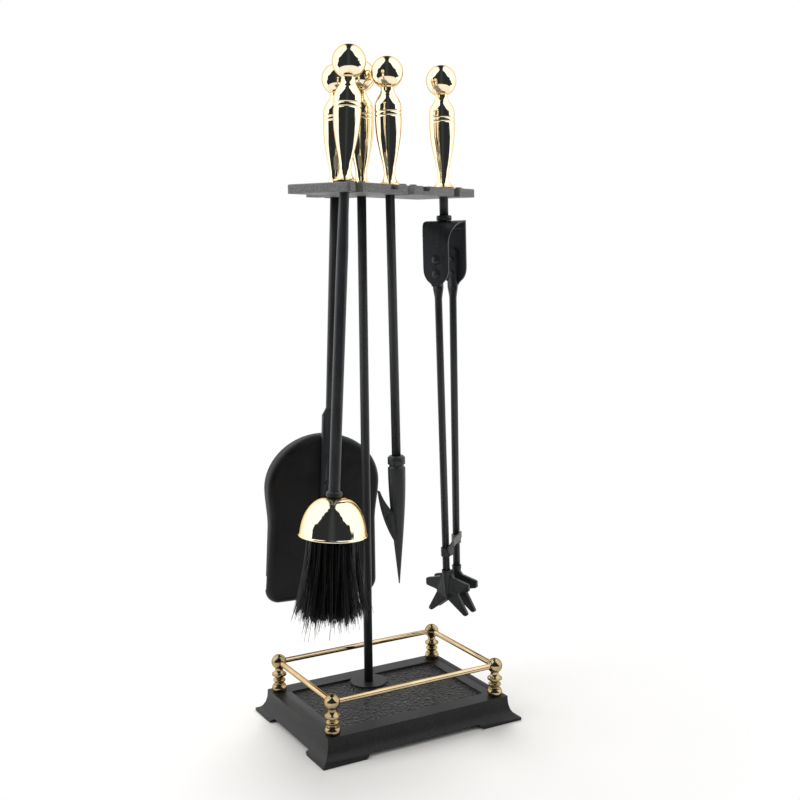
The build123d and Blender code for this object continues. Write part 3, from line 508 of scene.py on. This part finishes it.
def handle_profile():
    """Bore and flared foot, waist, body with two rings, shoulder and ball."""
    line = [(0, 26), (3.3, 26), (3.3, 0), (11.3, 0), (11.7, 0.25), (11.8, 0.7), (11.7, 1.1)]
    line += curve_through(HANDLE_WAIST)
    for low in HANDLE_RINGS:
        line += [(13.2, low + 0.15), (12.8, low + 0.55), (12.75, low + 0.8), (12.8, low + 1.05)]
        line += [(13.2, low + 1.45), (13.4, low + 1.75), (13.42, low + 2.6), (13.4, low + 3.6)]
    line += curve_through(HANDLE_SHOULDER)
    line += arc((0, HANDLE_BALL_Z), HANDLE_BALL_R, HANDLE_BALL_START, 90, 40)
    return line


handles = {
    "post": (post_place, "stand"),
    "brush": (brush_place, "brush"),
    "shovel": (shovel_place, "shovel"),
    "poker": (poker_place, "poker"),
    "tongs": (tongs_place, "tongs"),
}
for tool, (place, body) in handles.items():
    make_piece(
        f"{tool}_turned_handle",
        turned(handle_profile()),
        place,
        brass,
        body,
        [f"{tool}_handle"],
    )

BELL_TOP = -303.0
BELL_RIM = -341.5
BELL_CROWN_R = 8.0                # flat crown, from which the dome falls as a quarter ellipse
BELL_DOME = (24.9, 38.5)          # outer half axes of the dome
BELL_SHEET = 1.2


def dome(thickness, angles):
    """Points of the bell's dome, a sheet's thickness inside its outer face."""
    return [
        (
            BELL_CROWN_R + (BELL_DOME[0] - thickness) * sin(radians(angle)),
            BELL_RIM + (BELL_DOME[1] - thickness) * cos(radians(angle)),
        )
        for angle in angles
    ]


bell_line = [(3.4, BELL_TOP - 1.0), (3.4, BELL_TOP), (7.5, BELL_TOP)]
bell_line += dome(0.0, range(2, 86, 3))
bell_line += [(33.1, BELL_RIM + 2.6), (33.8, BELL_RIM + 2.1), (34.1, BELL_RIM + 1.2)]
bell_line += [(33.8, BELL_RIM + 0.4), (33.0, BELL_RIM)]
bell_line += [(32.2, BELL_RIM + 0.5), (32.0, BELL_RIM + 1.4)]
bell_line += dome(BELL_SHEET, range(86, 1, -3))
bell_line += [(3.4, BELL_TOP - 1.2)]
make_piece(
    "brush_spun_bell", turned(bell_line, 128), brush_place, brass, "brush", ["brush_bell"]
)

GALLERY_X = 94.9
GALLERY_Y = 63.9
BASE_TOP = 25.0
GALLERY_RISE = 32.0               # centre of the balls and rails above the base
GALLERY_BALL_R = 7.9
gallery_line = [(0, -6), (2.45, -6), (2.45, 0.0), (6.4, 0.0)]
gallery_line += [(6.6 + 1.3 * sin(pi * t / 10), 7.2 * t / 10) for t in range(11)]
gallery_line += [(5.0, 7.6), (4.6, 8.4), (4.6, 9.4)]
gallery_line += [(4.7 + 1.9 * sin(pi * t / 10), 9.6 + 4.8 * t / 10) for t in range(11)]
gallery_line += [(4.4, 14.9), (4.7, 15.8), (6.0, 16.8), (7.5, 17.3), (7.8, 18.2)]
gallery_line += [(7.6, 19.3), (6.2, 20.2), (4.7, 21.6), (4.2, 23.2), (4.2, 25.3)]
gallery_line += arc((0, GALLERY_RISE), GALLERY_BALL_R, -57.0, 90, 24)
for corner, (side_x, side_y) in {
    "front_left": (-1, -1),
    "front_right": (1, -1),
    "rear_left": (-1, 1),
    "rear_right": (1, 1),
}.items():
    place = place_at((side_x * GALLERY_X, side_y * GALLERY_Y, BASE_TOP), 0)
    make_piece(
        f"gallery_turned_post_{corner}",
        turned(gallery_line, 64),
        place,
        old_brass,
        "stand",
        [f"gallery_post_{corner}"],
    )

# ====================================================================================
# Black pieces on the solids' own shapes
# ====================================================================================
smooth_solids = {
    "stand": (("centre_post", bar_black), ("post_nut", bar_black)),
    "brush": (("brush_collar", bar_black),),
    "shovel": (
        ("shovel_rivet_upper", bar_black),
        ("shovel_rivet_lower", bar_black),
    ),
    "poker": (("poker_rod", bar_black), ("poker_head", bar_black)),
    "tongs": (("tongs_rod", bar_black), ("tongs_hub", bar_black)),
}
for side in ("left", "right"):
    smooth_solids[f"tongs_{side}_arm"] = tuple(
        (f"tongs_{side}_{part}", finish)
        for part, finish in (
            ("arm", bar_black),
            ("rivet_upper", bar_black),
            ("rivet_lower", bar_black),
            ("claw", bar_black),
            ("band", strap_steel),
        )
    )
for body, members in smooth_solids.items():
    for node, finish in members:
        merged_copy(node, f"{node}_smooth", finish, body)

ROD_STUD_R = 3.2
ROD_STUD_LENGTH = 26.0
BRUSH_ROD_FOOT = -297.0
BRUSH_STUD_FOOT = -335.0
BRUSH_ROD_R = 5.6                 # the rod is drawn down to ROD_R where it hangs in the slot
BRUSH_TAPER = (-30.0, -62.0)
brush_rod_line = [
    (0, ROD_STUD_LENGTH),
    (ROD_STUD_R, ROD_STUD_LENGTH),
    (ROD_STUD_R, 0),
    (ROD_R, 0),
    (ROD_R, BRUSH_TAPER[0]),
    (BRUSH_ROD_R, BRUSH_TAPER[1]),
    (BRUSH_ROD_R, BRUSH_ROD_FOOT),
    (ROD_STUD_R, BRUSH_ROD_FOOT),
    (ROD_STUD_R, BRUSH_STUD_FOOT),
    (0, BRUSH_STUD_FOOT),
]
make_piece(
    "brush_drawn_rod",
    turned(brush_rod_line, 64),
    brush_place,
    bar_black,
    "brush",
    ["brush_rod"],
)

TANG_START = -245.0               # the solid's shoulder runs from here down to TANG_FLAT
TANG_FLAT = -261.0
SHOULDER_START = -231.0           # and the shorter one that takes its place
SHOULDER_FLAT = -239.0


def raise_shoulder(shape):
    """Short shoulder that widens to the tang a little above the blade."""
    to_shovel = shovel_place.inverted()
    squeeze = (SHOULDER_START - SHOULDER_FLAT) / (TANG_START - TANG_FLAT)
    for corner in shape.verts:
        spot = to_shovel @ corner.co
        if TANG_FLAT - 0.2 < spot.z < TANG_START + 0.2:
            spot.z = SHOULDER_START + (spot.z - TANG_START) * squeeze
            corner.co = shovel_place @ spot


merged_copy(
    "shovel_rod", "shovel_rod_smooth", bar_black, "shovel", reshape=raise_shoulder
)

SPRING_HALF = 18.3                # outer face of a leaf from the tongs' axis
SPRING_TOP = -34.0
SPRING_SHEET = 2.0
SPRING_FRONT = -16.0
SPRING_WIDTH = 32.0
SPRING_START = -61.0              # the near leaf starts to bend over here
SPRING_TURN = 0.88                # share of the strip that bends, the rest runs straight down
HINGE_DROP = -43.0
SEAM = 0.03                       # between the bow and a leaf


def spring_bow():
    """Strip bent over from the near leaf: a wide sweep in front, a sharp fold behind."""
    shape = bmesh.new()
    bmesh.ops.create_grid(shape, x_segments=48, y_segments=16, size=0.5)
    for corner in shape.verts:
        along, across = corner.co.x + 0.5, corner.co.y + 0.5
        sharpness = 2.0 + 8.0 * across**1.4
        swing = radians(90) * min(along / SPRING_TURN, 1.0)
        x = SPRING_HALF - 2 * SPRING_HALF * max(cos(swing), 0.0) ** (2 / sharpness)
        z = SPRING_START + (SPRING_TOP - SPRING_START) * sin(swing) ** (2 / sharpness)
        z -= max(along - SPRING_TURN, 0.0) / (1 - SPRING_TURN) * (SPRING_TOP - HINGE_DROP)
        corner.co = (x, SPRING_FRONT + SPRING_WIDTH * across, z)
    bmesh.ops.recalc_face_normals(shape, faces=shape.faces)
    if sum(flat.normal.z * flat.calc_area() for flat in shape.faces) < 0:
        bmesh.ops.reverse_faces(shape, faces=shape.faces)
    bmesh.ops.solidify(shape, geom=shape.faces[:], thickness=SPRING_SHEET)
    return shape


LEAF_FLANK = [
    (16.0, -83.0),
    (15.6, -88.0),
    (14.2, -92.6),
    (11.6, -96.6),
    (8.4, -99.4),
    (6.4, -101.2),
    (5.5, -103.3),
]


def spring_leaf(side, top):
    """Flat leaf from the bend down to the arm, round at its lower corners."""
    flank = curve_through(LEAF_FLANK, 4)
    outline = [(16.0, top)] + flank + [(-y, z) for y, z in reversed(flank)] + [(-16.0, top)]
    shape = bmesh.new()
    outer = side * SPRING_HALF
    face = shape.faces.new([shape.verts.new((outer, y, z)) for y, z in outline])
    drawn = bmesh.ops.extrude_face_region(shape, geom=[face], use_keep_orig=True)
    moved = [item for item in drawn["geom"] if isinstance(item, bmesh.types.BMVert)]
    bmesh.ops.translate(shape, verts=moved, vec=(-side * SPRING_SHEET, 0, 0))
    return shape


make_piece(
    "tongs_spring_bow", spring_bow(), tongs_place, bar_black, "tongs", ["tongs_bow"]
)
for side, name, top in ((-1, "left", SPRING_START - SEAM), (1, "right", HINGE_DROP - SEAM)):
    make_piece(
        f"tongs_{name}_spring_leaf",
        spring_leaf(side, top),
        tongs_place,
        bar_black,
        f"tongs_{name}_arm",
        [f"tongs_{name}_leg"],
    )

BLADE_WIDTH = 133.0
BLADE_WAIST = 126.0
BLADE_TOP = -261.0
BLADE_ROUND = 56.0                # depth of the round top
BLADE_SIDE = BLADE_TOP - BLADE_ROUND
BLADE_FOOT = BLADE_TOP - 181.0
BLADE_EASE = 40.0                 # over which the sides draw in to the waist
BLADE_CORNER = 15.0
BLADE_DEPTH = 15.0
BLADE_SHEET = 1.5
BLADE_FOLD = 7.0
BLADE_FLARE = 3.2                 # the foot is wider than the waist by this on each side
BLADE_LIP = 9.0                   # depth of the wall where the lip begins
BLADE_LIP_RUN = 30.0
BLADE_Y = ROD_R                   # face of the blade behind the tool's axis


def blade_outline():
    """Round top, sides that draw in to a waist, and rounded corners at the open end."""
    line = [
        (BLADE_WIDTH / 2 * cos(radians(a)), BLADE_SIDE + BLADE_ROUND * sin(radians(a)))
        for a in range(0, 181, 5)
    ]
    draw_in = (BLADE_WIDTH - BLADE_WAIST) / 2
    left = [
        (-BLADE_WIDTH / 2 + draw_in * (3 * t * t - 2 * t**3), BLADE_SIDE - BLADE_EASE * t)
        for t in (0.2, 0.4, 0.6, 0.8, 1.0)
    ]
    x, z = BLADE_WAIST / 2 + BLADE_FLARE - BLADE_CORNER, BLADE_FOOT + BLADE_CORNER
    turns = [
        (BLADE_CORNER * cos(radians(a)), BLADE_CORNER * sin(radians(a)))
        for a in range(0, 91, 9)
    ]
    line += left
    line += [(-x - across, z - down) for across, down in turns]
    line += [(x + down, z - across) for across, down in turns]
    line += [(-x, z) for x, z in reversed(left)]
    return line


def cut_wall(shape, flats, low_depth, low_z, high_depth, high_z):
    """Trim the wall behind a line that runs from one depth and height to another."""
    geometry = dict.fromkeys(item for flat in flats for item in (flat, *flat.verts, *flat.edges))
    outward = Vector((0, high_z - low_z, low_depth - high_depth)).normalized()
    bmesh.ops.bisect_plane(
        shape,
        geom=list(geometry),
        dist=1e-5,
        plane_co=(0, BLADE_Y + low_depth, low_z),
        plane_no=outward,
        clear_outer=True,
    )


def pressed_blade():
    """Pan pressed from sheet: a face, a rolled fold and a wall that falls to the foot."""
    shape = bmesh.new()
    front = shape.faces.new([shape.verts.new((x, BLADE_Y, z)) for x, z in blade_outline()])
    drawn = bmesh.ops.extrude_face_region(shape, geom=[front])["geom"]
    moved = [item for item in drawn if isinstance(item, bmesh.types.BMVert)]
    bmesh.ops.translate(shape, verts=moved, vec=(0, BLADE_DEPTH, 0))
    for item in drawn:
        if isinstance(item, bmesh.types.BMFace):
            shape.faces.remove(item)
    bmesh.ops.bevel(
        shape,
        geom=front.edges[:],
        offset=BLADE_FOLD,
        offset_type="OFFSET",
        affect="EDGES",
        segments=7,
        profile=0.5,
        material=-1,
        clamp_overlap=True,
    )
    lip_top = BLADE_FOOT + BLADE_LIP_RUN
    bmesh.ops.bisect_plane(
        shape,
        geom=shape.verts[:] + shape.edges[:] + shape.faces[:],
        dist=1e-5,
        plane_co=(0, 0, lip_top),
        plane_no=(0, 0, 1),
    )
    upper = [flat for flat in shape.faces if flat.calc_center_median().z > lip_top]
    cut_wall(shape, upper, BLADE_LIP, lip_top, BLADE_DEPTH, BLADE_SIDE)
    lower = [flat for flat in shape.faces if flat.calc_center_median().z < lip_top]
    cut_wall(shape, lower, BLADE_LIP - 1.0, BLADE_FOOT, BLADE_LIP, lip_top)
    bmesh.ops.recalc_face_normals(shape, faces=shape.faces)
    if sum(flat.normal.y * flat.calc_area() for flat in shape.faces) > 0:
        bmesh.ops.reverse_faces(shape, faces=shape.faces)
    bmesh.ops.solidify(shape, geom=shape.faces[:], thickness=BLADE_SHEET)
    return shape


make_piece(
    "shovel_pressed_blade",
    pressed_blade(),
    shovel_place,
    sheet_black,
    "shovel",
    ["shovel_blade"],
)

# ====================================================================================
# Gallery rails, base, rack and the block in the bell
# ====================================================================================
RAIL_R = 2.85
RAIL_SOCKET = 3.5


def rail_bar(half):
    """Plain round bar along z, half its length above and half below its place."""
    return turned([(0, -half), (RAIL_R, -half), (RAIL_R, half), (0, half)], 48)


rail_z = BASE_TOP + GALLERY_RISE
rail_half_x = GALLERY_X - GALLERY_BALL_R + RAIL_SOCKET
rail_half_y = GALLERY_Y - GALLERY_BALL_R + RAIL_SOCKET
for name, spot, half, axis in (
    ("front", (0, -GALLERY_Y, rail_z), rail_half_x, "Y"),
    ("rear", (0, GALLERY_Y, rail_z), rail_half_x, "Y"),
    ("left", (-GALLERY_X, 0, rail_z), rail_half_y, "X"),
    ("right", (GALLERY_X, 0, rail_z), rail_half_y, "X"),
):
    place = place_at(spot, 0) @ Matrix.Rotation(radians(90), 4, axis)
    make_piece(
        f"gallery_rail_{name}_bar",
        rail_bar(half),
        place,
        rail_brass,
        "stand",
        [f"gallery_rail_{name}"],
    )
merged_copy("base_casting", "base_casting_soft", base_iron, "stand", soften=0.7)
merged_copy("tool_rack", "tool_rack_soft", rack_iron, "stand", soften=0.6)
merged_copy("brush_block", "brush_block_smooth", block_wood, "brush")

# ====================================================================================
# Bristles
# ====================================================================================
BRISTLE_ROOT = BELL_RIM + 1.0
TUFT_ROOT_R = 24.0                # roots of the locks
TUFT_BLOCK_R = 25.0               # no single root stands further out
TUFT_FOOT_R = 43.0                # no tip spreads further
LOCK_LENGTH = 79.0
HAIR_LIMIT = 99.0
HAIR_STEPS = 5
STRAY_SHARE = 0.045
chance = random.Random(7)


def add_hair(shape, line, thickness):
    """One hair: a three-sided tapering tube along a line of points."""
    rings = []
    for index, point in enumerate(line):
        size = thickness * (1.0 - 0.45 * index / (len(line) - 1))
        rings.append(
            [
                shape.verts.new(point + Vector((size * cos(a), size * sin(a), 0)))
                for a in (0.0, 2 * pi / 3, 4 * pi / 3)
            ]
        )
    for lower, upper in zip(rings, rings[1:]):
        for a in range(3):
            b = (a + 1) % 3
            shape.faces.new((lower[a], lower[b], upper[b], upper[a]))
    shape.faces.new(rings[0])
    shape.faces.new(reversed(rings[-1]))


def scattered(deviation):
    """Level vector with normally distributed parts."""
    return Vector((chance.gauss(0, deviation), chance.gauss(0, deviation), 0))


def drawn_in(point, limit):
    """The point, or the nearest one that is no further than the limit from the axis."""
    return point.normalized() * limit if point.length > limit else point


def make_tuft(locks, hairs_per_lock):
    """Hairs set in locks: the hairs of a lock draw together towards a ragged tip."""
    shape = bmesh.new()
    for _ in range(locks):
        angle = chance.uniform(0, 2 * pi)
        root_r = TUFT_ROOT_R * sqrt(chance.random())
        outward = Vector((cos(angle), sin(angle), 0))
        flare = root_r * 0.42 * chance.uniform(0.55, 1.25)
        lock_length = LOCK_LENGTH - 4.0 * (root_r / TUFT_ROOT_R) ** 2 + chance.gauss(0, 3.0)
        lock_sway = scattered(2.6)
        for _ in range(hairs_per_lock):
            scatter = scattered(1.5)
            root = drawn_in(outward * root_r + scatter, TUFT_BLOCK_R)
            tip = outward * (root_r + flare) + lock_sway + scatter * chance.uniform(0.3, 1.1)
            length = lock_length + chance.gauss(0, 2.4)
            if chance.random() < STRAY_SHARE:
                length += chance.uniform(4, 15)
                tip += outward * chance.uniform(0, 9) + scattered(3)
            length = min(length, HAIR_LIMIT)
            line = []
            for step in range(HAIR_STEPS + 1):
                t = step / HAIR_STEPS
                point = drawn_in(root.lerp(tip, t**1.6), TUFT_FOOT_R)
                line.append(Vector((point.x, point.y, BRISTLE_ROOT - length * t)))
            add_hair(shape, line, chance.uniform(0.26, 0.38))
    return shape


make_piece(
    "brush_tuft",
    make_tuft(260, 15),
    brush_place,
    bristle_black,
    "brush",
    ["brush_bristles"],
)

# ====================================================================================
# Floor
# ====================================================================================
FLOOR_R = 1.05
FLOOR_FADE = (0.16, 0.40)         # the floor runs out to the white ground between these radii
floor_shape = bmesh.new()
bmesh.ops.create_circle(floor_shape, cap_ends=True, segments=128, radius=FLOOR_R)
floor_mesh = bpy.data.meshes.new("studio_floor")
floor_shape.to_mesh(floor_mesh)
floor_shape.free()
floor = bpy.data.objects.new("studio_floor", floor_mesh)
bpy.context.scene.collection.objects.link(floor)


def floor_finish():
    """Pale floor that keeps shadows near the set and runs out to the white ground."""
    finish, tree, shader = new_finish("pale_floor", (0.86, 0.85, 0.83), 0.9, 0.0, 0.2)
    rays = tree.nodes.new("ShaderNodeLightPath").outputs
    glow = tree.nodes.new("ShaderNodeEmission")
    glow.inputs["Color"].default_value = (1, 1, 1, 1)
    length = tree.nodes.new("ShaderNodeVectorMath")
    length.operation = "LENGTH"
    tree.links.new(object_place(tree), length.inputs[0])
    away = spread(tree, length.outputs["Value"], *FLOOR_FADE, 0, 1)
    seen = combine(tree, "MAXIMUM", rays["Is Camera Ray"], rays["Is Glossy Ray"])
    shown = combine(tree, "MAXIMUM", seen, rays["Is Transmission Ray"])
    mix = tree.nodes.new("ShaderNodeMixShader")
    tree.links.new(combine(tree, "MULTIPLY", away, shown), mix.inputs["Fac"])
    tree.links.new(shader.outputs["BSDF"], mix.inputs[1])
    tree.links.new(glow.outputs["Emission"], mix.inputs[2])
    tree.links.new(mix.outputs["Shader"], tree.nodes["Material Output"].inputs["Surface"])
    return finish


floor_mesh.materials.append(floor_finish())

# ====================================================================================
# Studio: white to the camera. Polished metal sees white walls to the left, the right and
# the rear, and a dark room in front that narrows towards the ceiling.
# ====================================================================================
VIEW_TURN = radians(29.5)
WALL_GLOW = 1.45
ROOM_HALF_LOW = radians(92)       # half width of the dark room near the floor
ROOM_HALF_HIGH = radians(42)      # and near the ceiling
ROOM_HEIGHTS = (-0.35, 0.70)
ROOM_WOBBLE = radians(13)
ROOM_GLOW = 0.035
ROOM_TINT = (0.66, 0.80, 1.0)
WINDOW_GLOW = 0.03
WINDOW_EDGES = (radians(3), radians(16))
CEILING_SIDES = (0.12, 0.20)
CEILING_HEIGHTS = (0.45, 0.6)
REAR_EDGES = (-0.92, -0.66)
ROOM_SHADE = 0.6                  # share of the room's soft light that its darkness takes
SOFT_LIGHT = 0.8

world = bpy.data.worlds.new("studio")
bpy.context.scene.world = world
world.use_nodes = True
tree = world.node_tree
ground = tree.nodes["Background"]
direction = tree.nodes.new("ShaderNodeTexCoord")


def along(vector):
    """How far a ray's direction runs along a fixed direction."""
    dot = tree.nodes.new("ShaderNodeVectorMath")
    dot.operation = "DOT_PRODUCT"
    tree.links.new(direction.outputs["Generated"], dot.inputs[0])
    dot.inputs[1].default_value = vector
    return dot.outputs["Value"]


front = along((-sin(VIEW_TURN), -cos(VIEW_TURN), 0))
side = combine(tree, "ABSOLUTE", along((cos(VIEW_TURN), -sin(VIEW_TURN), 0)))
height = along((0, 0, 1))
turn = combine(tree, "ARCTAN2", side, front)
unevenness = tree.nodes.new("ShaderNodeTexNoise")
unevenness.inputs["Scale"].default_value = 2.6
unevenness.inputs["Detail"].default_value = 1.0
tree.links.new(direction.outputs["Generated"], unevenness.inputs["Vector"])
room_edge = combine(
    tree,
    "ADD",
    spread(tree, height, *ROOM_HEIGHTS, ROOM_HALF_LOW, ROOM_HALF_HIGH),
    spread(tree, unevenness.outputs["Fac"], 0.3, 0.7, -ROOM_WOBBLE, ROOM_WOBBLE),
)
room = spread(tree, combine(tree, "SUBTRACT", room_edge, turn), -0.06, 0.06, 0, 1)
ceiling = combine(
    tree,
    "MULTIPLY",
    spread(tree, side, *CEILING_SIDES, 1, 0),
    spread(tree, height, *CEILING_HEIGHTS, 0, 1),
)
dark = combine(tree, "MAXIMUM", room, ceiling)
window = combine(tree, "MULTIPLY", spread(tree, turn, *WINDOW_EDGES, 1, 0), WINDOW_GLOW)
rear = spread(tree, front, *REAR_EDGES, 1, 0)
walls = combine(tree, "SUBTRACT", WALL_GLOW, combine(tree, "MULTIPLY", rear, WALL_GLOW - 1.0))
lit = combine(tree, "MULTIPLY", combine(tree, "SUBTRACT", 1.0, dark), walls)
unlit = combine(tree, "MULTIPLY", dark, combine(tree, "ADD", ROOM_GLOW, window))
rays = tree.nodes.new("ShaderNodeLightPath").outputs
shown = combine(tree, "MAXIMUM", rays["Is Camera Ray"], rays["Is Transmission Ray"])
shade = combine(tree, "SUBTRACT", 1.0, combine(tree, "MULTIPLY", dark, ROOM_SHADE))
shaded = combine(tree, "MULTIPLY", rays["Is Diffuse Ray"], shade)
soft = combine(tree, "MULTIPLY", shaded, SOFT_LIGHT)
strength = tree.nodes.new("ShaderNodeMix")
strength.data_type = "FLOAT"
tree.links.new(rays["Is Glossy Ray"], strength.inputs["Factor"])
tree.links.new(combine(tree, "MAXIMUM", shown, soft), strength.inputs["A"])
tree.links.new(combine(tree, "ADD", lit, unlit), strength.inputs["B"])
tree.links.new(strength.outputs["Result"], ground.inputs["Strength"])
room_share = combine(tree, "MULTIPLY", dark, rays["Is Glossy Ray"])
tree.links.new(blend_colour(tree, room_share, (1, 1, 1), ROOM_TINT), ground.inputs["Color"])

# ====================================================================================
# Lamps and camera
# ====================================================================================
LAMP_SIZE = 1.2


def add_lamp(name, spot, aim, power):
    """Square soft lamp that faces a point of the set and doesn't show in the metal."""
    lamp_data = bpy.data.lights.new(name, "AREA")
    lamp_data.shape = "SQUARE"
    lamp_data.size = LAMP_SIZE
    lamp_data.energy = power
    lamp = bpy.data.objects.new(name, lamp_data)
    spot, aim = Vector(spot), Vector(aim)
    facing = (aim - spot).to_track_quat("-Z", "Y").to_matrix().to_4x4()
    lamp.matrix_world = Matrix.Translation(spot) @ facing
    lamp.visible_glossy = False
    bpy.context.scene.collection.objects.link(lamp)


add_lamp("key_lamp", (0.7, 1.4, 1.7), (0, 0, 0.1), 34)
add_lamp("fill_lamp", (-1.5, 0.2, 1.4), (0, 0, 0.3), 14)

VIEW_DROP = radians(7.7)
VIEW_ROLL = radians(-0.6)
VIEW_SPOT = (-0.5595, -1.0248, 0.4955)
VIEW_LENS = 51.78
ahead = Vector((sin(VIEW_TURN) * cos(VIEW_DROP), cos(VIEW_TURN) * cos(VIEW_DROP), -sin(VIEW_DROP)))
right = Vector((cos(VIEW_TURN), -sin(VIEW_TURN), 0))
above = right.cross(ahead)
right_rolled = right * cos(VIEW_ROLL) + above * sin(VIEW_ROLL)
above_rolled = above * cos(VIEW_ROLL) - right * sin(VIEW_ROLL)
camera_data = bpy.data.cameras.new("view")
camera_data.sensor_width = 36.0
camera_data.lens = VIEW_LENS
camera = bpy.data.objects.new("view", camera_data)
facing = Matrix((right_rolled, above_rolled, -ahead)).transposed().to_4x4()
camera.matrix_world = Matrix.Translation(VIEW_SPOT) @ facing
bpy.context.scene.collection.objects.link(camera)
bpy.context.scene.camera = camera
bpy.context.scene.view_settings.view_transform = "Standard"
